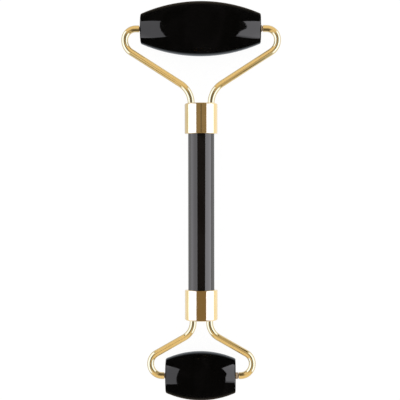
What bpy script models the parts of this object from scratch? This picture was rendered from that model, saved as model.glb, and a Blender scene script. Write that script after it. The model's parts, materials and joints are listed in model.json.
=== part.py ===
"""Double-ended face roller: a stone handle with a wire fork and a stone roller at each end.

Metres. +Y runs along the handle towards the large roller, +X along the rollers' axles, +Z up.
The tool lies on its side with its large roller touching Z = 0. The origin is at the bottom of
the tool's box, in the middle of its length and width.
"""

import math
from collections import namedtuple

import bmesh
import bpy
from mathutils import Vector

MM = 0.001
UP = Vector((0.0, 0.0, 1.0))

# Handle, ferrules and wire
AXLE_SPACING = 126.15 * MM
HANDLE_DIAMETER = 9.5 * MM
HANDLE_CHAMFER = 0.4 * MM
FERRULE_DIAMETER = 12.0 * MM
FERRULE_BORE = 10.0 * MM
FERRULE_LENGTH = 11.1 * MM
FERRULE_WALL = 1.0 * MM
FERRULE_SHOULDER = 0.6 * MM
FERRULE_RIM = 0.3 * MM
WIRE_DIAMETER = 2.5 * MM

# The fork's hidden base and the glue plug round it
BASE_RADIUS = 2.2 * MM
BASE_DROP = 0.6 * MM
PLUG_FLOOR = 0.7 * MM
HOOK_STRAIGHT = 0.1 * MM

# Axles, bushes and the stones' bores
AXLE_DIAMETER = 1.6 * MM
SOCKET_DEPTH = 1.1 * MM
STONE_BORE = 4.2 * MM
STONE_EDGE = 0.7 * MM
BUSH_DIAMETER = 3.6 * MM
BUSH_NOSE = 2.4 * MM
BUSH_LENGTH = 6.0 * MM

# Clearances
RUNNING_GAP = 0.1 * MM
WIRE_GAP = 0.1 * MM
GLUE_GAP = 0.2 * MM
PLAY = 0.2 * MM

# Facets
STONE_STEPS = 40
FERRULE_STEPS = 36
HANDLE_STEPS = 32
BUSH_STEPS = 20
AXLE_STEPS = 16
CROWN_STEPS = 12
EDGE_STEPS = 3
WIRE_BEVEL = 4
BEND_STEP = math.radians(15.0)
SHARP_ANGLE = math.radians(40.0)
MERGE = 0.01 * MM

End = namedtuple(
    "End",
    "name side stone_length stone_diameter stone_x crown_radius reach leg_x hook_x wire_end_x"
    " slope exit_radius lower_radius upper_radius",
)

# side is the end's direction along Y, and reach the distance from its axle to its ferrule.
# stone_x is how far its stone sits to one side of the middle, with a longer bush on the other
LARGE = End(
    name="large",
    side=1,
    stone_length=43.6 * MM,
    stone_diameter=19.9 * MM,
    stone_x=-0.15 * MM,
    crown_radius=54.5 * MM,
    reach=27.1 * MM,
    leg_x=3.62 * MM,
    hook_x=27.75 * MM,
    wire_end_x=22.4 * MM,
    slope=math.radians(32.8),
    exit_radius=8.4 * MM,
    lower_radius=5.2 * MM,
    upper_radius=4.0 * MM,
)
SMALL = End(
    name="small",
    side=-1,
    stone_length=25.4 * MM,
    stone_diameter=17.8 * MM,
    stone_x=-0.3 * MM,
    crown_radius=31.0 * MM,
    reach=20.25 * MM,
    leg_x=3.0 * MM,
    hook_x=18.5 * MM,
    wire_end_x=13.5 * MM,
    slope=math.radians(29.7),
    exit_radius=6.4 * MM,
    lower_radius=4.3 * MM,
    upper_radius=4.3 * MM,
)

AXIS_Z = LARGE.stone_diameter / 2
HALF_LENGTH = (AXLE_SPACING + (LARGE.stone_diameter + SMALL.stone_diameter) / 2) / 2

# colour, roughness, metallic
FINISHES = {
    "stone": ((0.012, 0.010, 0.012), 0.08, 0.0),
    "gold": ((0.90, 0.62, 0.27), 0.12, 1.0),
    "steel": ((0.62, 0.61, 0.60), 0.25, 1.0),
    "nylon": ((0.86, 0.80, 0.70), 0.45, 0.0),
    "glue": ((0.70, 0.58, 0.34), 0.20, 0.0),
}


# Distances from the origin towards an end, along the handle


def axle_reach(end):
    return HALF_LENGTH - end.stone_diameter / 2


def cap_reach(end):
    """The ferrule's closed outer face."""
    return axle_reach(end) - end.reach


def base_reach(end):
    """The centre line of the fork's hidden base."""
    return cap_reach(end) - FERRULE_WALL - BASE_DROP - BASE_RADIUS


def plug_floor_reach(end):
    return base_reach(end) - WIRE_DIAMETER / 2 - PLUG_FLOOR


def handle_reach(end):
    return plug_floor_reach(end) - GLUE_GAP


# Scene


def clear_scene():
    for thing in list(bpy.data.objects):
        bpy.data.objects.remove(thing)


def new_collection(name):
    collection = bpy.data.collections.new(name)
    bpy.context.scene.collection.children.link(collection)
    return collection


def give_material(piece, finish):
    colour, roughness, metallic = FINISHES[finish]
    material = bpy.data.materials.new(f"{piece.name}_{finish}")
    material.use_nodes = True
    shader = material.node_tree.nodes["Principled BSDF"]
    shader.inputs["Base Color"].default_value = (*colour, 1.0)
    shader.inputs["Roughness"].default_value = roughness
    shader.inputs["Metallic"].default_value = metallic
    material.diffuse_color = (*colour, 1.0)
    piece.data.materials.append(material)


def add_axis(name, location):
    """An empty that its pieces are parented to."""
    axis = bpy.data.objects.new(name, None)
    axis.location = location
    axis.empty_display_size = 5.0 * MM
    bpy.context.scene.collection.objects.link(axis)
    return axis


def place(piece, collection, parent, location, direction):
    """Put a piece in its parent's space, with its own Z along the direction."""
    collection.objects.link(piece)
    piece.parent = parent
    piece.location = location
    piece.rotation_euler = UP.rotation_difference(Vector(direction)).to_euler()


# Shapes


def arc(centre, radius, start, stop, steps):
    """Points from angle start to angle stop, both included."""
    angles = [start + (stop - start) * i / steps for i in range(steps + 1)]
    return [(centre[0] + radius * math.cos(a), centre[1] + radius * math.sin(a)) for a in angles]


def turned(name, profile, steps, closed):
    """A solid of revolution about Z. The (radius, height) profile runs down its outer side."""
    count = len(profile)
    edges = [(i, (i + 1) % count) for i in range(count if closed else count - 1)]
    mesh = bpy.data.meshes.new(name)
    mesh.from_pydata([(radius, 0.0, height) for radius, height in profile], edges, [])
    piece = bpy.data.objects.new(name, mesh)
    screw = piece.modifiers.new("Turn", "SCREW")
    screw.steps = steps
    screw.render_steps = steps
    screw.use_merge_vertices = True
    screw.merge_threshold = MERGE
    screw.use_smooth_shade = True
    return piece


def rounded_path(corners, radii):
    """A line through the corners, with each inner corner bent to its radius."""
    points = [corners[0]]
    for before, corner, after, radius in zip(corners, corners[1:], corners[2:], radii):
        back = (before - corner).normalized()
        ahead = (after - corner).normalized()
        half_angle = back.angle(ahead) / 2
        tangent = radius / math.tan(half_angle)
        centre = corner + (back + ahead).normalized() * (radius / math.sin(half_angle))
        start = (corner + back * tangent - centre).normalized()
        stop = (corner + ahead * tangent - centre).normalized()
        steps = round((math.pi - 2 * half_angle) / BEND_STEP)
        points += [centre + start.slerp(stop, i / steps) * radius for i in range(steps + 1)]
    points.append(corners[-1])
    return points


def tube(name, points, radius):
    """A solid wire along the points, as one closed mesh."""
    curve = bpy.data.curves.new(name, "CURVE")
    curve.dimensions = "3D"
    curve.bevel_depth = radius
    curve.bevel_resolution = WIRE_BEVEL
    curve.use_fill_caps = True
    spline = curve.splines.new("POLY")
    spline.points.add(len(points) - 1)
    for spot, point in zip(spline.points, points):
        spot.co = (point.x, point.y, 0.0, 1.0)
    guide = bpy.data.objects.new(f"{name}_path", curve)
    bpy.context.scene.collection.objects.link(guide)
    depsgraph = bpy.context.evaluated_depsgraph_get()
    mesh = bpy.data.meshes.new_from_object(guide.evaluated_get(depsgraph))
    mesh.name = name
    bpy.data.objects.remove(guide)
    weld(mesh)
    mesh.shade_smooth()
    mesh.set_sharp_from_angle(angle=SHARP_ANGLE)
    return bpy.data.objects.new(name, mesh)


def weld(mesh):
    """Join the end caps to the wall."""
    bm = bmesh.new()
    bm.from_mesh(mesh)
    bmesh.ops.remove_doubles(bm, verts=bm.verts, dist=MERGE)
    bmesh.ops.recalc_face_normals(bm, faces=bm.faces)
    bm.to_mesh(mesh)
    bm.free()


def rod_cutter(name, radius, length):
    bm = bmesh.new()
    bmesh.ops.create_cone(
        bm, cap_ends=True, segments=AXLE_STEPS, radius1=radius, radius2=radius, depth=length
    )
    mesh = bpy.data.meshes.new(name)
    bm.to_mesh(mesh)
    bm.free()
    return bpy.data.objects.new(name, mesh)


def cut(piece, cutter):
    cutter.hide_render = True
    cutter.display_type = "WIRE"
    boolean = piece.modifiers.new(f"Cut {cutter.name}", "BOOLEAN")
    boolean.operation = "DIFFERENCE"
    boolean.object = cutter


# Pieces


def stone_profile(end):
    """A crowned barrel with rounded edges and a straight bore."""
    half = end.stone_length / 2
    crown = (end.stone_diameter / 2 - end.crown_radius, 0.0)
    edge_height = half - STONE_EDGE
    edge_offset = math.sqrt((end.crown_radius - STONE_EDGE) ** 2 - edge_height**2)
    edge_radius = crown[0] + edge_offset
    lean = math.atan2(edge_height, edge_offset)
    quarter = math.pi / 2
    upper_edge = arc((edge_radius, edge_height), STONE_EDGE, quarter, lean, EDGE_STEPS)
    barrel = arc(crown, end.crown_radius, lean, -lean, CROWN_STEPS)
    lower_edge = arc((edge_radius, -edge_height), STONE_EDGE, -lean, -quarter, EDGE_STEPS)
    bore = [(STONE_BORE / 2, -half), (STONE_BORE / 2, half)]
    return upper_edge + barrel[1:-1] + lower_edge + bore


def make_stone(end, collection, axis):
    piece = turned(f"{end.name}_roller_stone", stone_profile(end), STONE_STEPS, closed=True)
    place(piece, collection, axis, (end.stone_x, 0, 0), (1, 0, 0))
    give_material(piece, "stone")


def make_bushes(end, collection, axis):
    """A bush in each mouth of the bore. Its nose keeps the stone off the wire's end."""
    bore = AXLE_DIAMETER / 2 + RUNNING_GAP
    for word, direction in (("left", -1), ("right", 1)):
        face = end.stone_x + direction * end.stone_length / 2
        nose = end.wire_end_x - abs(face) - PLAY
        profile = [
            (BUSH_NOSE / 2, nose),
            (BUSH_NOSE / 2, 0.0),
            (BUSH_DIAMETER / 2, 0.0),
            (BUSH_DIAMETER / 2, -BUSH_LENGTH),
            (bore, -BUSH_LENGTH),
            (bore, nose),
        ]
        piece = turned(f"{end.name}_bush_{word}", profile, BUSH_STEPS, closed=True)
        place(piece, collection, axis, (face, 0, 0), (direction, 0, 0))
        give_material(piece, "nylon")


def make_axle(end, collection, frame):
    half = end.wire_end_x + SOCKET_DEPTH - GLUE_GAP
    radius = AXLE_DIAMETER / 2
    profile = [(0.0, half), (radius, half), (radius, -half), (0.0, -half)]
    piece = turned(f"{end.name}_axle", profile, AXLE_STEPS, closed=False)
    place(piece, collection, frame, (0, end.side * axle_reach(end), 0), (1, 0, 0))
    give_material(piece, "steel")


def fork_corners(end):
    """The right half of the fork's centre line, from the wire's end to its hidden base."""
    axle = axle_reach(end)
    lower_tangent = end.lower_radius * math.tan((math.pi / 2 - end.slope) / 2)
    hook = axle - end.upper_radius - HOOK_STRAIGHT - lower_tangent
    leg = hook - (end.hook_x - end.leg_x) * math.tan(end.slope)
    return [
        Vector((end.wire_end_x, axle)),
        Vector((end.hook_x, axle)),
        Vector((end.hook_x, hook)),
        Vector((end.leg_x, leg)),
        Vector((end.leg_x, base_reach(end))),
    ]


def fork_path(end):
    right = fork_corners(end)
    left = [Vector((-corner.x, corner.y)) for corner in reversed(right)]
    bends = [end.upper_radius, end.lower_radius, end.exit_radius, BASE_RADIUS]
    points = rounded_path(right + left, bends + bends[::-1])
    return [Vector((point.x, end.side * point.y)) for point in points]


def make_fork(end, collection, cutters, frame):
    """One bent wire, with a blind socket for the axle drilled in each of its ends."""
    piece = tube(f"{end.name}_fork", fork_path(end), WIRE_DIAMETER / 2)
    place(piece, collection, frame, (0, 0, 0), (0, 0, 1))
    give_material(piece, "gold")
    socket_radius = AXLE_DIAMETER / 2 + RUNNING_GAP
    for word, direction in (("left", -1), ("right", 1)):
        cutter = rod_cutter(f"{end.name}_socket_{word}", socket_radius, 2 * SOCKET_DEPTH)
        mouth = (direction * end.wire_end_x, end.side * axle_reach(end), 0)
        place(cutter, cutters, frame, mouth, (1, 0, 0))
        cut(piece, cutter)


def ferrule_profile():
    """A cup whose closed end is at height 0 and whose open rim is below it."""
    radius = FERRULE_DIAMETER / 2
    bore = FERRULE_BORE / 2
    quarter = math.pi / 2
    shoulder_centre = (radius - FERRULE_SHOULDER, -FERRULE_SHOULDER)
    rim_centre = (radius - FERRULE_RIM, FERRULE_RIM - FERRULE_LENGTH)
    shoulder = arc(shoulder_centre, FERRULE_SHOULDER, quarter, 0.0, EDGE_STEPS + 1)
    rim = arc(rim_centre, FERRULE_RIM, 0.0, -quarter, EDGE_STEPS)
    inside = [(bore, -FERRULE_LENGTH), (bore, -FERRULE_WALL), (0.0, -FERRULE_WALL)]
    return [(0.0, 0.0)] + shoulder + rim + inside


def make_ferrule(end, collection, cutters, frame):
    """A cap over the handle's end, with a hole for each leg of the fork."""
    piece = turned(f"{end.name}_ferrule", ferrule_profile(), FERRULE_STEPS, closed=False)
    cap = end.side * cap_reach(end)
    place(piece, collection, frame, (0, cap, 0), (0, end.side, 0))
    give_material(piece, "gold")
    for word, direction in (("left", -1), ("right", 1)):
        radius = WIRE_DIAMETER / 2 + WIRE_GAP
        cutter = rod_cutter(f"{end.name}_hole_{word}", radius, 4 * FERRULE_WALL)
        place(cutter, cutters, frame, (direction * end.leg_x, cap, 0), (0, 1, 0))
        cut(piece, cutter)


def make_plug(end, collection, cutters, frame):
    """Set glue that fills the ferrule behind its wall, round the fork's base."""
    top = cap_reach(end) - FERRULE_WALL - GLUE_GAP
    length = top - plug_floor_reach(end)
    radius = FERRULE_BORE / 2 - GLUE_GAP
    profile = [(0.0, length / 2), (radius, length / 2), (radius, -length / 2), (0.0, -length / 2)]
    piece = turned(f"{end.name}_glue_plug", profile, HANDLE_STEPS, closed=False)
    place(piece, collection, frame, (0, end.side * (top - length / 2), 0), (0, end.side, 0))
    give_material(piece, "glue")
    base = Vector((end.leg_x, base_reach(end)))
    mouth = Vector((end.leg_x, cap_reach(end)))
    corners = [mouth, base, Vector((-base.x, base.y)), Vector((-mouth.x, mouth.y))]
    path = rounded_path(corners, [BASE_RADIUS, BASE_RADIUS])
    points = [Vector((point.x, end.side * point.y)) for point in path]
    cutter = tube(f"{end.name}_base_channel", points, WIRE_DIAMETER / 2 + GLUE_GAP)
    place(cutter, cutters, frame, (0, 0, 0), (0, 0, 1))
    cut(piece, cutter)


def make_handle(collection, frame):
    """A straight stone rod whose chamfered ends stop at the glue plugs."""
    high = handle_reach(LARGE)
    low = -handle_reach(SMALL)
    radius = HANDLE_DIAMETER / 2
    narrow = radius - HANDLE_CHAMFER
    half = (high - low) / 2
    profile = [
        (0.0, half),
        (narrow, half),
        (radius, half - HANDLE_CHAMFER),
        (radius, HANDLE_CHAMFER - half),
        (narrow, -half),
        (0.0, -half),
    ]
    piece = turned("handle_stone", profile, HANDLE_STEPS, closed=False)
    place(piece, collection, frame, (0, (high + low) / 2, 0), (0, 1, 0))
    give_material(piece, "stone")


def make_end(end, collection, cutters, frame):
    roller_axis = add_axis(f"{end.name}_roller_axis", (0, end.side * axle_reach(end), AXIS_Z))
    make_ferrule(end, collection, cutters, frame)
    make_plug(end, collection, cutters, frame)
    make_fork(end, collection, cutters, frame)
    make_axle(end, collection, frame)
    make_stone(end, collection, roller_axis)
    make_bushes(end, collection, roller_axis)


def main():
    clear_scene()
    collection = new_collection("face_roller")
    cutters = new_collection("cutters")
    frame = add_axis("handle_axis", (0, 0, AXIS_Z))
    make_handle(collection, frame)
    for end in (LARGE, SMALL):
        make_end(end, collection, cutters, frame)


main()
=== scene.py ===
import json
import math

import bmesh
import bpy
from mathutils import Matrix, Vector


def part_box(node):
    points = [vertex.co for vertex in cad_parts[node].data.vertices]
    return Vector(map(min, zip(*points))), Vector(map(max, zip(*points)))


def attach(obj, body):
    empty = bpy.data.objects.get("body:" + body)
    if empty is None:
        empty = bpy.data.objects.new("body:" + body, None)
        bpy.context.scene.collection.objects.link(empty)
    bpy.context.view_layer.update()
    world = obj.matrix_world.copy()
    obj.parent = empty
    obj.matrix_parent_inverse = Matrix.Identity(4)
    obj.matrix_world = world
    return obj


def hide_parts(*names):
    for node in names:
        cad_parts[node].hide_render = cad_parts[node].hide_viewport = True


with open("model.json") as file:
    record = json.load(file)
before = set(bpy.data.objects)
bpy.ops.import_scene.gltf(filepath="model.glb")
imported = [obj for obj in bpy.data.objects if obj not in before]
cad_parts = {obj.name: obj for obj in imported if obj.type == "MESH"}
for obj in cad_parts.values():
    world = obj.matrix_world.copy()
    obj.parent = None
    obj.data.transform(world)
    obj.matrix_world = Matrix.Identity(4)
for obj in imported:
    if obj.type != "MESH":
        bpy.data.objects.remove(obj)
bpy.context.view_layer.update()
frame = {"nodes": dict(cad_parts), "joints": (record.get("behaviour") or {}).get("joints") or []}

MM = 0.001
QUARTER = math.pi / 2

joint_at = {joint["child"]: Vector(joint["pos_m"]) for joint in frame["joints"]}
AXIS_Z = joint_at["large_roller"].z

# What the CAD boxes don't say about the two ends
ENDS = {
    "large": {
        "side": 1,
        "crown_radius": 54.5 * MM,
        "leg_x": 3.62 * MM,
        "slope": math.radians(32.8),
        "exit_radius": 8.4 * MM,
        "lower_radius": 5.2 * MM,
        "upper_radius": 4.0 * MM,
        "wire_end_x": 22.4 * MM,
    },
    "small": {
        "side": -1,
        "crown_radius": 31.0 * MM,
        "leg_x": 3.0 * MM,
        "slope": math.radians(29.7),
        "exit_radius": 6.4 * MM,
        "lower_radius": 4.3 * MM,
        "upper_radius": 4.3 * MM,
        "wire_end_x": 13.5 * MM,
    },
}

# Rollers
STONE_EDGE = 0.7 * MM
BORE_RADIUS = 2.1 * MM
BORE_CHAMFER = 0.2 * MM
BUSH_RADIUS = 1.8 * MM
BUSH_LENGTH = 6.0 * MM
BUSH_BODY_TOP = -1.0 * MM
BUSH_NOSE = 1.2 * MM
BUSH_EDGE = 0.08 * MM
BUSH_RIM_RADIUS = BORE_RADIUS - 0.02 * MM
BUSH_RIM_TOP = -0.1 * MM
BUSH_RIM_FOOT = -0.8 * MM
RUNNING_GAP = 0.1 * MM

# Handle and ferrules
HANDLE_EDGE = 0.4 * MM
FERRULE_WALL = 1.0 * MM
FERRULE_BORE = 5.0 * MM
FERRULE_CHAMFER = 0.1 * MM
SHOULDER = 0.6 * MM
RIM = 0.3 * MM

# Wires, axles and solder
HOOK_STRAIGHT = 0.1 * MM
BASE_RADIUS = 2.2 * MM
BASE_DEPTH = 3.8 * MM
SOCKET_DEPTH = 1.1 * MM
WIRE_EDGE = 0.12 * MM
AXLE_DOME = 0.3 * MM
FILLET = 0.3 * MM
FILLET_ROOT = -0.5 * MM
FILLET_BITE = 0.03 * MM
FILLET_HOLLOW = 0.93 * FILLET
FILLET_TOE = 1.25 * FILLET
FILLET_TOE_SINK = 0.02 * MM
FILLET_HEEL = 0.4 * FILLET

# Fineness
TURN_STEPS = 144
BUSH_STEPS = 72
SMALL_STEPS = 48
WIRE_SIDES = 40
RING_SPACING = 0.25 * MM
BEND_STEP = math.radians(3.0)
SHARP_ANGLE = math.radians(40.0)
HOLD = 0.06 * MM

# Surface colours, each pair from its darkest to its lightest
ROLLER_TONES = ((0.0016, 0.0014, 0.0011), (0.0034, 0.0030, 0.0028))
HANDLE_TONES = ((0.0080, 0.0062, 0.0050), (0.0115, 0.0092, 0.0078))
FLECK = (0.02, 0.018, 0.017)
GOLD_TONES = ((0.93, 0.67, 0.285), (0.97, 0.705, 0.315))
DULL_GOLD = (0.74, 0.50, 0.21)
NYLON_TONES = ((0.46, 0.33, 0.20), (0.58, 0.44, 0.29))
STEEL_TONES = ((0.48, 0.47, 0.46), (0.66, 0.65, 0.64))
GLUE_TONES = ((0.50, 0.36, 0.14), (0.68, 0.54, 0.28))
FLOOR_TONES = ((0.09, 0.09, 0.09), (0.11, 0.11, 0.11))

# Light colours
WHITE = (1.0, 1.0, 1.0)
FAINT_BLUE = (0.96, 0.95, 1.0)
COOL = (0.86, 0.93, 1.0)
BROWN = (1.0, 0.82, 0.6)
WARM = (1.0, 0.92, 0.76)
NEUTRAL = (0.93, 1.0, 1.18)
AMBER = (1.0, 0.85, 0.68)
DEEP_AMBER = (1.0, 0.76, 0.50)

# Light colours bright enough in blue to look white, cream or honey once gold reflects them
WHITE_ON_GOLD = (1.12, 1.54, 3.5)
CREAM_ON_GOLD = (1.12, 1.53, 2.85)
HONEY_ON_GOLD = (1.0, 1.15, 1.2)

# Softboxes, as (y, z) outlines. Each group of pieces has its own pair
LEFT_BOX = [
    (-0.36, -0.05),
    (0.40, -0.05),
    (0.425, 0.515),
    (0.2, 0.56),
    (0.0, 0.575),
    (-0.25, 0.555),
    (-0.475, 0.5),
]
RIGHT_BOX = [
    (-0.215, -0.015),
    (0.245, -0.015),
    (0.25, 0.28),
    (0.03, 0.285),
    (-0.07, 0.325),
    (-0.245, 0.3),
]

# Panels or tents in the same place would hide each other, so no two share one
SOFTBOX_X = {
    "handle": (-0.375, 0.213),
    "roller": (-0.377, 0.215),
    "ferrule": (-0.379, 0.217),
    "large_wire": (-0.387, 0.223),
    "small_wire": (-0.383, 0.219),
}
TENT_RADIUS = {
    "handle": 0.95,
    "large_roller": 0.97,
    "small_roller": 0.99,
    "large_ferrule": 1.01,
    "small_ferrule": 1.03,
    "large_wire": 1.05,
    "small_wire": 1.07,
}

# Where the sill starts and ends along the tool, and its height
LEFT_SILL = (0.05, 0.30, 0.20)
RIGHT_SILL = (0.03, 0.15, 0.11)
SILL_FOOT = -0.06
SILL_SOFTNESS = 0.03

# Where the wires' softboxes are at full strength, and where they are gone
LEFT_FADE = (-0.28, -0.44)
RIGHT_FADE = (-0.13, -0.24)

FERRULE_LIGHTS = {
    "large": {"ceiling": 0.25, "line": 0.15, "left_table": 0.72, "tint": AMBER},
    "small": {"ceiling": 0.205, "line": 0.04, "left_table": 0.92, "tint": DEEP_AMBER},
}
RIGHT_TABLE = 1.05

WIRE_SURROUND = 0.79
WIRE_SURROUND_DIM = 0.11
RIGHT_REAR_LOSS = 0.32
WIRE_TABLE = (0.66, 0.8)
SURROUND_SHIFT = 0.12

# Floor and world
FLOOR_RADIUS = 4.0
FLOOR_DROP = 0.2 * MM
FLOOR_GLOW = 0.93
GLOSSY_WORLD_LOSS = 0.985

# Camera
CAMERA_SPOT = Vector((0.006, 0.0048, AXIS_Z + 0.45))
CAMERA_TARGET = Vector((-0.00045, 0.00035, AXIS_Z))
CAMERA_UP = Vector((0.0012, 1.0, 0.0))
LENS_MM = 111.4
SENSOR_MM = 36.0


# ---------------------------------------------------------------- shapes


def arc(centre, radius, start, stop, steps):
    """Points from angle start to angle stop, both included."""
    angles = [start + (stop - start) * i / steps for i in range(steps + 1)]
    return [(centre[0] + radius * math.cos(a), centre[1] + radius * math.sin(a)) for a in angles]


def held(profile):
    """The profile with extra points close to the ends of its long straight runs."""
    points = [profile[0]]
    for a, b in zip(profile, profile[1:]):
        length = math.hypot(b[0] - a[0], b[1] - a[1])
        if length > 4 * HOLD:
            t = HOLD / length
            points.append((a[0] + (b[0] - a[0]) * t, a[1] + (b[1] - a[1]) * t))
            points.append((b[0] + (a[0] - b[0]) * t, b[1] + (a[1] - b[1]) * t))
        points.append(b)
    return points


def finish_mesh(name, bm):
    """Turn a bmesh into a smooth object with sharp edges where it bends."""
    bmesh.ops.recalc_face_normals(bm, faces=bm.faces)
    mesh = bpy.data.meshes.new(name)
    bm.to_mesh(mesh)
    bm.free()
    mesh.shade_smooth()
    mesh.set_sharp_from_angle(angle=SHARP_ANGLE)
    piece = bpy.data.objects.new(name, mesh)
    bpy.context.scene.collection.objects.link(piece)
    return piece


def add_ring(bm, radius, steps, spot_at):
    """A ring of vertices, or a single one where the radius is 0."""
    count = steps if radius > 0 else 1
    return [bm.verts.new(spot_at(math.tau * i / steps)) for i in range(count)]


def bridge(bm, a, b, steps):
    """Faces between two rings. Either may be a single vertex."""
    for i in range(steps):
        j = (i + 1) % steps
        corners = [a[i % len(a)], a[j % len(a)], b[j % len(b)], b[i % len(b)]]
        bm.faces.new(list(dict.fromkeys(corners)))


def lathe(name, profile, place, closed=False, steps=TURN_STEPS):
    """Turn a (radius, height) profile about Z, then put it in place with a matrix."""
    bm = bmesh.new()
    rings = []
    for radius, height in profile:

        def spot_at(angle):
            return radius * math.cos(angle), radius * math.sin(angle), height

        rings.append(add_ring(bm, radius, steps, spot_at))
    for a, b in zip(rings, rings[1:]):
        bridge(bm, a, b, steps)
    if closed:
        bridge(bm, rings[-1], rings[0], steps)
    bm.transform(place)
    return finish_mesh(name, bm)


def along(direction, location):
    """A matrix that turns Z to the direction and moves the origin to the location."""
    turn = Vector((0, 0, 1)).rotation_difference(Vector(direction)).to_matrix().to_4x4()
    return Matrix.Translation(Vector(location)) @ turn


def rounded_path(corners, radii):
    """A line through the 2D corners, with each inner corner bent to its radius."""
    points = [corners[0]]
    for before, corner, after, radius in zip(corners, corners[1:], corners[2:], radii):
        back = (before - corner).normalized()
        ahead = (after - corner).normalized()
        half_angle = back.angle(ahead) / 2
        tangent = radius / math.tan(half_angle)
        centre = corner + (back + ahead).normalized() * (radius / math.sin(half_angle))
        start = (corner + back * tangent - centre).normalized()
        stop = (corner + ahead * tangent - centre).normalized()
        steps = round((math.pi - 2 * half_angle) / BEND_STEP)
        points += [centre + start.slerp(stop, i / steps) * radius for i in range(steps + 1)]
    points.append(corners[-1])
    return points


def sweep(name, path, sections):
    """Rings round a flat path. Each section is (distance along the path, radius)."""
    lengths = [0.0]
    for a, b in zip(path, path[1:]):
        lengths.append(lengths[-1] + (b - a).length)
    bm = bmesh.new()
    rings = []
    for distance, radius in sections:
        centre, tangent = point_at(path, lengths, distance)
        across = Vector((-tangent.y, tangent.x))

        def spot_at(angle):
            spot = centre + across * (radius * math.cos(angle))
            return spot.x, spot.y, AXIS_Z + radius * math.sin(angle)

        rings.append(add_ring(bm, radius, WIRE_SIDES, spot_at))
    for a, b in zip(rings, rings[1:]):
        bridge(bm, a, b, WIRE_SIDES)
    return finish_mesh(name, bm)


def point_at(path, lengths, distance):
    """The place and the direction of travel at a distance along the path."""
    last = len(path) - 2
    i = next((k for k in range(last + 1) if distance <= lengths[k + 1]), last)
    span = lengths[i + 1] - lengths[i]
    t = (distance - lengths[i]) / span
    here = (path[i + 1] - path[i]).normalized()
    before = (path[i] - path[i - 1]).normalized() if i > 0 else here
    after = (path[i + 2] - path[i + 1]).normalized() if i < last else here
    tangent = (before + here).lerp(here + after, t).normalized()
    return path[i].lerp(path[i + 1], t), tangent


# ---------------------------------------------------------------- shader helpers


def new_material(name):
    material = bpy.data.materials.new(name)
    material.use_nodes = True
    return material, material.node_tree, material.node_tree.nodes["Principled BSDF"]


def feed(tree, socket, value):
    """Give a socket a number, a colour or another node's output."""
    if isinstance(value, tuple):
        socket.default_value = (*value, 1.0)
    elif isinstance(value, (int, float)):
        socket.default_value = value
    else:
        tree.links.new(value, socket)


def calc(tree, operation, *values):
    """One Math node. Values are numbers or sockets."""
    node = tree.nodes.new("ShaderNodeMath")
    node.operation = operation
    for socket, value in zip(node.inputs, values):
        feed(tree, socket, value)
    return node.outputs[0]


def ramp(tree, value, low, high, to_low=0.0, to_high=1.0):
    """A smooth change from to_low to to_high as the value goes from low to high."""
    node = tree.nodes.new("ShaderNodeMapRange")
    node.interpolation_type = "SMOOTHSTEP"
    tree.links.new(value, node.inputs["Value"])
    limits = {"From Min": low, "From Max": high, "To Min": to_low, "To Max": to_high}
    for key, number in limits.items():
        node.inputs[key].default_value = number
    return node.outputs["Result"]


def noise(tree, scale, detail=3.0, stretch=(1.0, 1.0, 1.0), distortion=0.0):
    """Noise in the object's own space. Scale is in features per metre."""
    coordinates = tree.nodes.new("ShaderNodeTexCoord")
    mapping = tree.nodes.new("ShaderNodeMapping")
    mapping.inputs["Scale"].default_value = stretch
    texture = tree.nodes.new("ShaderNodeTexNoise")
    texture.inputs["Scale"].default_value = scale
    texture.inputs["Detail"].default_value = detail
    texture.inputs["Distortion"].default_value = distortion
    tree.links.new(coordinates.outputs["Object"], mapping.inputs["Vector"])
    tree.links.new(mapping.outputs["Vector"], texture.inputs["Vector"])
    return texture.outputs["Fac"]


def mix_colours(tree, factor, first, second):
    node = tree.nodes.new("ShaderNodeMix")
    node.data_type = "RGBA"
    for key, value in (("Factor", factor), ("A", first), ("B", second)):
        feed(tree, node.inputs[key], value)
    return node.outputs["Result"]


def bump(tree, shader, height, distance):
    node = tree.nodes.new("ShaderNodeBump")
    node.inputs["Distance"].default_value = distance
    tree.links.new(height, node.inputs["Height"])
    tree.links.new(node.outputs["Normal"], shader.inputs["Normal"])


def scratches(tree, scale):
    """Thin broken hairlines, 1 on a line and 0 elsewhere."""
    lines = noise(tree, scale, detail=1.0, stretch=(1.0, 0.12, 1.0), distortion=0.4)
    crest = calc(tree, "ABSOLUTE", calc(tree, "SUBTRACT", lines, 0.5))
    line = ramp(tree, crest, 0.0, 0.006, 1.0, 0.0)
    patches = ramp(tree, noise(tree, scale * 0.3), 0.5, 0.62)
    return calc(tree, "MULTIPLY", line, patches)


# ---------------------------------------------------------------- materials


def stone_material(name, specular, tones):
    """Near-black polished stone with faint smoky clouds."""
    material, tree, shader = new_material(name)
    clouds = noise(tree, 90.0, detail=6.0, stretch=(1.0, 0.55, 1.0), distortion=1.2)
    body = mix_colours(tree, ramp(tree, clouds, 0.35, 0.75), *tones)
    flecks = ramp(tree, noise(tree, 1400.0, detail=2.0), 0.70, 0.80)
    colour = mix_colours(tree, calc(tree, "MULTIPLY", flecks, 0.35), body, FLECK)
    tree.links.new(colour, shader.inputs["Base Color"])
    hairlines = scratches(tree, 700.0)
    gloss = ramp(tree, noise(tree, 260.0, detail=4.0), 0.3, 0.7, 0.035, 0.065)
    worn = calc(tree, "ADD", gloss, calc(tree, "MULTIPLY", hairlines, 0.08))
    tree.links.new(worn, shader.inputs["Roughness"])
    shader.inputs["Specular IOR Level"].default_value = specular
    waves = noise(tree, 170.0, detail=2.0)
    height = calc(tree, "SUBTRACT", waves, calc(tree, "MULTIPLY", hairlines, 0.04))
    bump(tree, shader, height, distance=0.000012)
    return material


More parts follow.
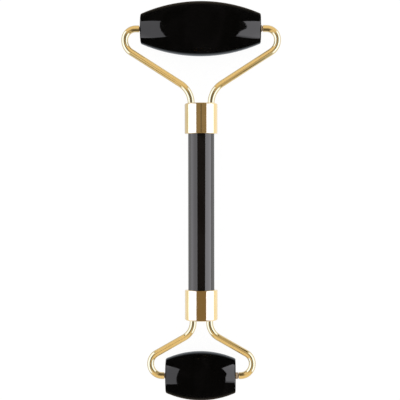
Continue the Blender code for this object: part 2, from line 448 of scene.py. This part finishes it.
def gold_material(name, roughness, wave):
    """Polished gold plate with faint hairlines and slightly uneven polish."""
    material, tree, shader = new_material(name)
    shader.inputs["Metallic"].default_value = 1.0
    tone = noise(tree, 220.0, detail=4.0)
    plate = mix_colours(tree, ramp(tree, tone, 0.3, 0.7), *GOLD_TONES)
    dulled = ramp(tree, noise(tree, 900.0, detail=5.0), 0.62, 0.78)
    colour = mix_colours(tree, calc(tree, "MULTIPLY", dulled, 0.25), plate, DULL_GOLD)
    tree.links.new(colour, shader.inputs["Base Color"])
    hairlines = scratches(tree, 900.0)
    smear = ramp(tree, noise(tree, 340.0, detail=5.0), 0.3, 0.7, roughness * 0.8, roughness * 1.25)
    worn = calc(tree, "ADD", smear, calc(tree, "MULTIPLY", hairlines, 0.10))
    tree.links.new(worn, shader.inputs["Roughness"])
    waves = noise(tree, 260.0, detail=2.0)
    height = calc(tree, "SUBTRACT", waves, calc(tree, "MULTIPLY", hairlines, 0.03))
    bump(tree, shader, height, wave)
    return material


def nylon_material():
    """Natural nylon, with a little light in it and a moulded grain."""
    material, tree, shader = new_material("bush_nylon")
    tone = noise(tree, 1500.0, detail=4.0)
    colour = mix_colours(tree, ramp(tree, tone, 0.3, 0.7), *NYLON_TONES)
    tree.links.new(colour, shader.inputs["Base Color"])
    gloss = ramp(tree, noise(tree, 2600.0), 0.3, 0.7, 0.38, 0.52)
    tree.links.new(gloss, shader.inputs["Roughness"])
    shader.inputs["Subsurface Weight"].default_value = 0.2
    shader.inputs["Subsurface Radius"].default_value = (0.0006, 0.0004, 0.0003)
    bump(tree, shader, noise(tree, 3500.0, detail=3.0), distance=0.00001)
    return material


def steel_material():
    """Drawn steel, with turned rings round X."""
    material, tree, shader = new_material("axle_steel")
    shader.inputs["Metallic"].default_value = 1.0
    rings = noise(tree, 2500.0, detail=4.0, stretch=(3.0, 0.3, 0.3))
    colour = mix_colours(tree, ramp(tree, rings, 0.3, 0.7), *STEEL_TONES)
    tree.links.new(colour, shader.inputs["Base Color"])
    tree.links.new(ramp(tree, rings, 0.25, 0.75, 0.20, 0.34), shader.inputs["Roughness"])
    bump(tree, shader, rings, distance=0.000008)
    return material


def glue_material():
    """Set amber glue, hidden inside the ferrules."""
    material, tree, shader = new_material("set_glue")
    tone = noise(tree, 700.0, detail=4.0, distortion=0.8)
    colour = mix_colours(tree, ramp(tree, tone, 0.3, 0.7), *GLUE_TONES)
    tree.links.new(colour, shader.inputs["Base Color"])
    tree.links.new(ramp(tree, tone, 0.3, 0.7, 0.14, 0.28), shader.inputs["Roughness"])
    bump(tree, shader, noise(tree, 1200.0), distance=0.00004)
    return material


# ---------------------------------------------------------------- pieces


def dress(piece, body, slot, material, *nodes):
    """Give a piece its material and body, and hide the CAD nodes that it stands for. The slot is
    not used.
    """
    piece.data.materials.clear()
    piece.data.materials.append(material)
    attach(piece, body)
    if nodes:
        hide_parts(*nodes)
    return piece


def stone_profile(half, radius, crown_radius):
    """A crowned barrel with rounded edges and a chamfered bore."""
    crown = (radius - crown_radius, 0.0)
    edge_height = half - STONE_EDGE
    edge_offset = math.sqrt((crown_radius - STONE_EDGE) ** 2 - edge_height**2)
    edge = crown[0] + edge_offset
    lean = math.atan2(edge_height, edge_offset)
    profile = [(BORE_RADIUS, half - BORE_CHAMFER), (BORE_RADIUS + BORE_CHAMFER, half)]
    profile += arc((edge, edge_height), STONE_EDGE, QUARTER, lean, steps=10)
    profile += arc(crown, crown_radius, lean, -lean, steps=96)[1:-1]
    profile += arc((edge, -edge_height), STONE_EDGE, -lean, -QUARTER, steps=10)
    profile += [(BORE_RADIUS + BORE_CHAMFER, -half), (BORE_RADIUS, BORE_CHAMFER - half)]
    return held(profile)


def make_stone(end, material):
    low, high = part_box(f"{end}_roller_stone")
    profile = stone_profile((high.x - low.x) / 2, (high.z - low.z) / 2, ENDS[end]["crown_radius"])
    place = along((1, 0, 0), (low + high) / 2)
    piece = lathe(f"{end}_stone", profile, place, closed=True)
    return dress(piece, f"{end}_roller", "black_stone", material, f"{end}_roller_stone")


def make_bush(end, word, direction, material):
    """A bush with a raised nose and a thin rim that closes the bore's mouth."""
    low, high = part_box(f"{end}_bush_{word}")
    stone_low, stone_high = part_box(f"{end}_roller_stone")
    face = stone_high.x if direction > 0 else stone_low.x
    nose = (high.x - face) if direction > 0 else (face - low.x)
    bore = axle_radius(end) + RUNNING_GAP
    rim = BUSH_RIM_RADIUS - BUSH_EDGE
    profile = [(bore, nose - BUSH_EDGE), (bore + BUSH_EDGE, nose)]
    profile += arc((BUSH_NOSE - BUSH_EDGE, nose - BUSH_EDGE), BUSH_EDGE, QUARTER, 0.0, steps=4)
    profile += [(BUSH_NOSE, BUSH_RIM_TOP), (rim, BUSH_RIM_TOP)]
    profile += arc((rim, BUSH_RIM_TOP - BUSH_EDGE), BUSH_EDGE, QUARTER, 0.0, steps=4)
    profile += [(BUSH_RIM_RADIUS, BUSH_RIM_FOOT), (BUSH_RADIUS, BUSH_BODY_TOP)]
    profile += [(BUSH_RADIUS, -BUSH_LENGTH), (bore, -BUSH_LENGTH)]
    axle = joint_at[f"{end}_roller"]
    place = along((direction, 0, 0), (face, axle.y, axle.z))
    piece = lathe(f"{end}_bush_{word}_fine", profile, place, closed=True, steps=BUSH_STEPS)
    return dress(piece, f"{end}_roller", "bush_nylon", material, f"{end}_bush_{word}")


def axle_radius(end):
    low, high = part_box(f"{end}_axle")
    return (high.z - low.z) / 2


def rod_profile(radius, half, edge, steps):
    """A solid rod with rounded ends."""
    profile = [(0.0, half)] + arc((radius - edge, half - edge), edge, QUARTER, 0.0, steps)
    profile += arc((radius - edge, edge - half), edge, 0.0, -QUARTER, steps)
    return profile + [(0.0, -half)]


def make_axle(end, material):
    low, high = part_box(f"{end}_axle")
    profile = rod_profile(axle_radius(end), (high.x - low.x) / 2, AXLE_DOME, steps=5)
    place = along((1, 0, 0), (low + high) / 2)
    piece = lathe(f"{end}_axle_fine", profile, place, steps=SMALL_STEPS)
    return dress(piece, "handle_frame", "axle_steel", material, f"{end}_axle")


def make_handle(material):
    low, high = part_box("handle_stone")
    profile = rod_profile((high.z - low.z) / 2, (high.y - low.y) / 2, HANDLE_EDGE, steps=6)
    place = along((0, 1, 0), (low + high) / 2)
    piece = lathe("handle_rod", held(profile), place)
    return dress(piece, "handle_frame", "black_stone", material, "handle_stone")


def ferrule_profile(radius, length):
    """A cup with its closed end at height 0 and its open rim below it."""
    profile = [(0.0, 0.0)]
    profile += arc((radius - SHOULDER, -SHOULDER), SHOULDER, QUARTER, 0.0, steps=14)
    profile += arc((radius - RIM, RIM - length), RIM, 0.0, -QUARTER, steps=8)
    profile += [(FERRULE_BORE + FERRULE_CHAMFER, -length)]
    profile += [(FERRULE_BORE, FERRULE_CHAMFER - length)]
    profile += [(FERRULE_BORE, -FERRULE_WALL), (0.0, -FERRULE_WALL)]
    return held(profile)


def make_ferrule(end, material):
    low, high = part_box(f"{end}_ferrule")
    side = ENDS[end]["side"]
    cap = high.y if side > 0 else low.y
    profile = ferrule_profile((high.x - low.x) / 2, high.y - low.y)
    piece = lathe(f"{end}_ferrule_fine", profile, along((0, side, 0), (0, cap, AXIS_Z)))
    for direction in (-1, 1):
        spot = (direction * ENDS[end]["leg_x"], cap, AXIS_Z)
        drill(piece, spot, wire_radius(end) + RUNNING_GAP)
    return dress(piece, "handle_frame", "polished_gold", material, f"{end}_ferrule")


def drill(piece, location, radius):
    """Cut a straight hole along Y through the ferrule's wall."""
    deep = 2 * FERRULE_WALL
    profile = [(0.0, deep), (radius, deep), (radius, -deep), (0.0, -deep)]
    cutter = lathe("drill", profile, along((0, 1, 0), location), steps=SMALL_STEPS)
    boolean = piece.modifiers.new("Drill", "BOOLEAN")
    boolean.operation = "DIFFERENCE"
    boolean.object = cutter
    depsgraph = bpy.context.evaluated_depsgraph_get()
    mesh = bpy.data.meshes.new_from_object(piece.evaluated_get(depsgraph))
    piece.modifiers.clear()
    piece.data = mesh
    bpy.data.objects.remove(cutter)


def wire_radius(end):
    low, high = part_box(f"{end}_fork")
    return (high.z - low.z) / 2


def fork_path(end):
    """The wire's centre line from one end to the other, through its hidden base."""
    facts = ENDS[end]
    side = facts["side"]
    fork_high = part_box(f"{end}_fork")[1]
    ferrule_low, ferrule_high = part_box(f"{end}_ferrule")
    cap = ferrule_high.y if side > 0 else -ferrule_low.y
    axle = abs(joint_at[f"{end}_roller"].y)
    hook_x = fork_high.x - wire_radius(end)
    lower_tangent = facts["lower_radius"] * math.tan((QUARTER - facts["slope"]) / 2)
    hook = axle - facts["upper_radius"] - HOOK_STRAIGHT - lower_tangent
    leg = hook - (hook_x - facts["leg_x"]) * math.tan(facts["slope"])
    right = [
        Vector((facts["wire_end_x"], axle)),
        Vector((hook_x, axle)),
        Vector((hook_x, hook)),
        Vector((facts["leg_x"], leg)),
        Vector((facts["leg_x"], cap - BASE_DEPTH)),
    ]
    left = [Vector((-corner.x, corner.y)) for corner in reversed(right)]
    bends = [facts["upper_radius"], facts["lower_radius"], facts["exit_radius"], BASE_RADIUS]
    points = rounded_path(right + left, bends + bends[::-1])
    return [Vector((point.x, side * point.y)) for point in points]


def make_fork(end, material):
    """One bent wire, with rounded ends and a blind socket for the axle in each."""
    path = fork_path(end)
    total = sum((b - a).length for a, b in zip(path, path[1:]))
    radius = wire_radius(end)
    socket = axle_radius(end) + RUNNING_GAP
    mouth = [(SOCKET_DEPTH, 0.0), (SOCKET_DEPTH, socket), (0.0, socket)]
    mouth += arc((WIRE_EDGE, radius - WIRE_EDGE), WIRE_EDGE, math.pi, QUARTER, steps=4)
    steps = round(total / RING_SPACING)
    span = total - 2 * WIRE_EDGE
    middle = [(WIRE_EDGE + span * i / steps, radius) for i in range(1, steps)]
    far = [(total - distance, r) for distance, r in reversed(mouth)]
    piece = sweep(f"{end}_wire", path, mouth + middle + far)
    return dress(piece, "handle_frame", "polished_gold", material, f"{end}_fork")


def make_braze(end, word, direction, material):
    """The small fillet of solder where a leg leaves the ferrule."""
    facts = ENDS[end]
    low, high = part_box(f"{end}_ferrule")
    cap = high.y if facts["side"] > 0 else low.y
    inner = wire_radius(end) - FILLET_BITE
    profile = [(inner, FILLET_ROOT), (inner, FILLET)]
    profile += arc((inner + FILLET, FILLET), FILLET_HOLLOW, math.pi, 3 * QUARTER, steps=8)
    profile += [(inner + FILLET_TOE, -FILLET_TOE_SINK), (inner + FILLET_HEEL, FILLET_ROOT)]
    place = along((0, facts["side"], 0), (direction * facts["leg_x"], cap, AXIS_Z))
    piece = lathe(f"{end}_solder_{word}", profile, place, closed=True, steps=SMALL_STEPS)
    return dress(piece, "handle_frame", "polished_gold", material)


def make_pieces():
    """All the pieces, in groups that are lit alike."""
    roller_stone = stone_material("roller_stone", specular=0.31, tones=ROLLER_TONES)
    handle_stone = stone_material("handle_stone", specular=0.5, tones=HANDLE_TONES)
    ferrule_gold = gold_material("ferrule_gold", roughness=0.07, wave=0.00001)
    wire_gold = gold_material("wire_gold", roughness=0.085, wave=0.000006)
    nylon, steel, glue = nylon_material(), steel_material(), glue_material()
    made = {"handle": [make_handle(handle_stone)]}
    for end in ENDS:
        made[f"{end}_stone"] = [make_stone(end, roller_stone)]
        made[f"{end}_ferrule"] = [make_ferrule(end, ferrule_gold)]
        made[f"{end}_wire"] = [make_fork(end, wire_gold)]
        make_axle(end, steel)
        for word, direction in (("left", -1), ("right", 1)):
            make_bush(end, word, direction, nylon)
            made[f"{end}_wire"].append(make_braze(end, word, direction, wire_gold))
        for group in ("stone", "wire", "ferrule"):
            for piece in made[f"{end}_{group}"]:
                piece.visible_glossy = False
        plug = frame["nodes"][f"{end}_glue_plug"]
        plug.data.materials.clear()
        plug.data.materials.append(glue)
        plug.data.shade_smooth()
    return made


# ---------------------------------------------------------------- lights

# A light is a function that gives a strength and a colour. In a softbox its x, y and z are
# in metres. In a tent they are a unit direction from the tool's middle.


def inside(tree, value, low, high, soft):
    """1 between low and high, and 0 outside them."""
    rise = ramp(tree, value, low - soft, low + soft)
    fall = ramp(tree, value, high - soft, high + soft, 1.0, 0.0)
    return calc(tree, "MULTIPLY", rise, fall)


def lean_angle(tree, x, z):
    """Degrees from straight up, seen along Y. Positive towards +X."""
    return calc(tree, "MULTIPLY", calc(tree, "ARCTAN2", x, z), math.degrees(1.0))


def blend(tree, factor, first, second):
    """first where the factor is 0, and second where it is 1."""
    gap = calc(tree, "SUBTRACT", second, first)
    return calc(tree, "ADD", first, calc(tree, "MULTIPLY", factor, gap))


def below(tree, z):
    """1 under the horizon, and 0 over it."""
    return ramp(tree, z, -0.06, -0.16)


def handle_light(tree, x, y, z):
    """The lit table in the handle's lower flanks."""
    lean = calc(tree, "ABSOLUTE", lean_angle(tree, x, z))
    edge = ramp(tree, lean, 99.0, 102.0)
    fall = ramp(tree, lean, 104.0, 140.0, 1.9, 0.7)
    return calc(tree, "MULTIPLY", edge, fall), WHITE


def roller_light(side):
    """The lit table in the roller's lower rims, blue-white on the handle's side."""

    def light_of(tree, x, y, z):
        outer = ramp(tree, calc(tree, "MULTIPLY", y, side), -0.1, 0.1)
        near = ramp(tree, z, -0.66, -0.92, 0.0, 0.66)
        far = ramp(tree, z, -0.3, -0.8, 0.0, 0.13)
        return blend(tree, outer, near, far), mix_colours(tree, outer, COOL, BROWN)

    return light_of


def ferrule_light(ceiling, line, left_table, tint):
    """A dim ceiling, with the camera's dark line in it, and the lit table below."""

    def light_of(tree, x, y, z):
        across = inside(tree, lean_angle(tree, x, z), -2.5, 4.0, 1.5)
        stripe = calc(tree, "MULTIPLY", across, inside(tree, y, 0.0, 0.2, 0.04))
        over = calc(tree, "SUBTRACT", ceiling, calc(tree, "MULTIPLY", stripe, line))
        table = ramp(tree, x, -0.2, 0.2, left_table, RIGHT_TABLE)
        under = below(tree, z)
        return blend(tree, under, over, table), mix_colours(tree, under, tint, NEUTRAL)

    return light_of


def wire_light(side):
    """A warm surround beyond the roller, which dims overhead and towards the handle."""

    def light_of(tree, x, y, z):
        outward = calc(tree, "SUBTRACT", calc(tree, "MULTIPLY", y, side), SURROUND_SHIFT)
        squares = calc(tree, "ADD", calc(tree, "POWER", x, 2.0), calc(tree, "POWER", outward, 2.0))
        reach = calc(tree, "SQRT", squares)
        sideways = calc(tree, "DIVIDE", calc(tree, "ABSOLUTE", x), reach)
        inward = calc(tree, "DIVIDE", calc(tree, "MULTIPLY", outward, -1.0), reach)
        beside = ramp(tree, sideways, 0.70, 0.94, 1.0, 0.0)
        behind = ramp(tree, inward, 0.88, 0.99, 1.0, 0.0)
        right, rear = ramp(tree, x, 0.02, 0.2), ramp(tree, inward, 0.3, 0.8)
        loss = calc(tree, "MULTIPLY", calc(tree, "MULTIPLY", right, rear), RIGHT_REAR_LOSS)
        warm = calc(tree, "SUBTRACT", WIRE_SURROUND, loss)
        lit = calc(tree, "MULTIPLY", beside, behind)
        surround = blend(tree, lit, WIRE_SURROUND_DIM, warm)
        table = ramp(tree, x, -0.2, 0.2, *WIRE_TABLE)
        under = below(tree, z)
        return blend(tree, under, surround, table), mix_colours(tree, under, WARM, NEUTRAL)

    return light_of


def left_glow(tree, x, y, z):
    return ramp(tree, z, 0.0, 0.3, 3.3, 2.6), FAINT_BLUE


def right_glow(tree, x, y, z):
    """Dimmer at the corner towards the small roller."""
    corner = ramp(tree, y, -0.24, -0.16, 0.4, 1.0)
    return calc(tree, "MULTIPLY", ramp(tree, z, 0.0, 0.25, 4.6, 4.2), corner), FAINT_BLUE


def with_sill(glow, near, far, height):
    """The same glow, cut off low down so that it doesn't whiten the crowns seen from the side.

    The sill is highest beside the tool's middle and gone towards its ends.
    """

    def light_of(tree, x, y, z):
        strength, colour = glow(tree, x, y, z)
        sill = ramp(tree, calc(tree, "ABSOLUTE", y), near, far, height, SILL_FOOT)
        over_sill = ramp(tree, calc(tree, "SUBTRACT", z, sill), 0.0, SILL_SOFTNESS)
        return calc(tree, "MULTIPLY", strength, over_sill), colour

    return light_of


def even_glow(tree, x, y, z):
    return 1.0, WHITE_ON_GOLD


def fading_glow(side, full, gone):
    """Even light that fades and yellows towards the other end of the tool."""

    def light_of(tree, x, y, z):
        strength = ramp(tree, calc(tree, "MULTIPLY", y, side), gone, full)
        yellowed = ramp(tree, strength, 0.4, 1.0, 1.0, 0.0)
        return strength, mix_colours(tree, yellowed, CREAM_ON_GOLD, HONEY_ON_GOLD)

    return light_of


def glow_material(name, light_of):
    """Light that is added to what lies behind it."""
    material = bpy.data.materials.new(name)
    material.use_nodes = True
    tree = material.node_tree
    tree.nodes.remove(tree.nodes["Principled BSDF"])
    coordinates = tree.nodes.new("ShaderNodeTexCoord")
    parts = tree.nodes.new("ShaderNodeSeparateXYZ")
    tree.links.new(coordinates.outputs["Object"], parts.inputs["Vector"])
    emission = tree.nodes.new("ShaderNodeEmission")
    strength, colour = light_of(tree, *parts.outputs)
    feed(tree, emission.inputs["Strength"], strength)
    feed(tree, emission.inputs["Color"], colour)
    clear = tree.nodes.new("ShaderNodeBsdfTransparent")
    both = tree.nodes.new("ShaderNodeAddShader")
    tree.links.new(emission.outputs["Emission"], both.inputs[0])
    tree.links.new(clear.outputs["BSDF"], both.inputs[1])
    tree.links.new(both.outputs["Shader"], tree.nodes["Material Output"].inputs["Surface"])
    material.cycles.emission_sampling = "NONE"
    return material


def light_up(piece, light_of, receivers):
    """Turn a stage piece into a light that only shows in the receivers' reflections."""
    piece.data.materials.append(glow_material(piece.name, light_of))
    piece.visible_camera = False
    piece.visible_diffuse = False
    piece.visible_shadow = False
    piece.visible_transmission = False
    group = bpy.data.collections.new(f"{piece.name}_receivers")
    for receiver in receivers:
        group.objects.link(receiver)
    piece.light_linking.receiver_collection = group


def make_tent(name, light_of, receivers):
    """A round tent of light for one group of pieces."""
    bm = bmesh.new()
    bmesh.ops.create_uvsphere(bm, u_segments=64, v_segments=32, radius=1.0)
    tent = finish_mesh(f"{name}_tent", bm)
    tent.location = (0.0, 0.0, AXIS_Z)
    tent.scale = [TENT_RADIUS[name]] * 3
    light_up(tent, light_of, receivers)


def make_softboxes(name, left, right, receivers):
    """The two upright softboxes beside the tool, for one group of pieces."""
    boxes = ("left", LEFT_BOX, left), ("right", RIGHT_BOX, right)
    for (word, outline, light_of), x in zip(boxes, SOFTBOX_X[name]):
        bm = bmesh.new()
        bm.faces.new([bm.verts.new((x, y, z)) for y, z in outline])
        light_up(finish_mesh(f"{name}_softbox_{word}", bm), light_of, receivers)


def make_lights(made):
    stones = made["large_stone"] + made["small_stone"]
    ferrules = made["large_ferrule"] + made["small_ferrule"]
    left, right = with_sill(left_glow, *LEFT_SILL), with_sill(right_glow, *RIGHT_SILL)
    make_softboxes("handle", left_glow, right_glow, made["handle"])
    make_softboxes("roller", left, right, stones)
    make_softboxes("ferrule", even_glow, even_glow, ferrules)
    for end, facts in ENDS.items():
        left, right = (fading_glow(facts["side"], *fade) for fade in (LEFT_FADE, RIGHT_FADE))
        make_softboxes(f"{end}_wire", left, right, made[f"{end}_wire"])
    make_tent("handle", handle_light, made["handle"])
    for end, facts in ENDS.items():
        make_tent(f"{end}_roller", roller_light(facts["side"]), made[f"{end}_stone"])
    for end, facts in FERRULE_LIGHTS.items():
        make_tent(f"{end}_ferrule", ferrule_light(**facts), made[f"{end}_ferrule"])
    for end, facts in ENDS.items():
        make_tent(f"{end}_wire", wire_light(facts["side"]), made[f"{end}_wire"])


# ---------------------------------------------------------------- stage


def make_floor():
    """A plain floor, white by its own glow over dark grey, so it shows almost no shadow."""
    bm = bmesh.new()
    bmesh.ops.create_circle(bm, cap_ends=True, segments=96, radius=FLOOR_RADIUS)
    floor = finish_mesh("floor", bm)
    floor.location.z = -FLOOR_DROP
    material, tree, shader = new_material("pale_floor")
    paper = noise(tree, 900.0)
    colour = mix_colours(tree, ramp(tree, paper, 0.3, 0.7), *FLOOR_TONES)
    feed(tree, shader.inputs["Base Color"], colour)
    shader.inputs["Roughness"].default_value = 0.9
    shader.inputs["Specular IOR Level"].default_value = 0.1
    feed(tree, shader.inputs["Emission Color"], WHITE)
    shader.inputs["Emission Strength"].default_value = FLOOR_GLOW
    floor.data.materials.append(material)
    floor.visible_glossy = False


def make_world():
    """White all round for the camera and for soft light, and nearly black in reflections."""
    world = bpy.data.worlds.new("studio")
    world.use_nodes = True
    bpy.context.scene.world = world
    tree = world.node_tree
    rays = tree.nodes.new("ShaderNodeLightPath")
    background = tree.nodes["Background"]
    loss = calc(tree, "MULTIPLY", rays.outputs["Is Glossy Ray"], GLOSSY_WORLD_LOSS)
    feed(tree, background.inputs["Strength"], calc(tree, "SUBTRACT", 1.0, loss))
    feed(tree, background.inputs["Color"], WHITE)


def make_camera():
    """Over the middle of the handle, a little towards +X."""
    camera = bpy.data.objects.new("camera", bpy.data.cameras.new("camera"))
    bpy.context.scene.collection.objects.link(camera)
    camera.location = CAMERA_SPOT
    camera.rotation_mode = "QUATERNION"
    camera.rotation_quaternion = level(CAMERA_TARGET - CAMERA_SPOT, CAMERA_UP)
    camera.data.sensor_width = SENSOR_MM
    camera.data.lens = LENS_MM
    camera.data.clip_start = 0.01
    camera.data.clip_end = 20.0
    bpy.context.scene.camera = camera


def level(look, up):
    """The rotation of a camera that looks along a direction, with this way up."""
    back = -look.normalized()
    right = up.cross(back).normalized()
    return Matrix((right, back.cross(right), back)).transposed().to_quaternion()


def make_stage(made):
    make_floor()
    make_world()
    make_lights(made)
    make_camera()
    view = bpy.context.scene.view_settings
    view.view_transform = "Standard"
    view.look = "None"
    view.exposure = 0.0
    view.gamma = 1.0


make_stage(make_pieces())
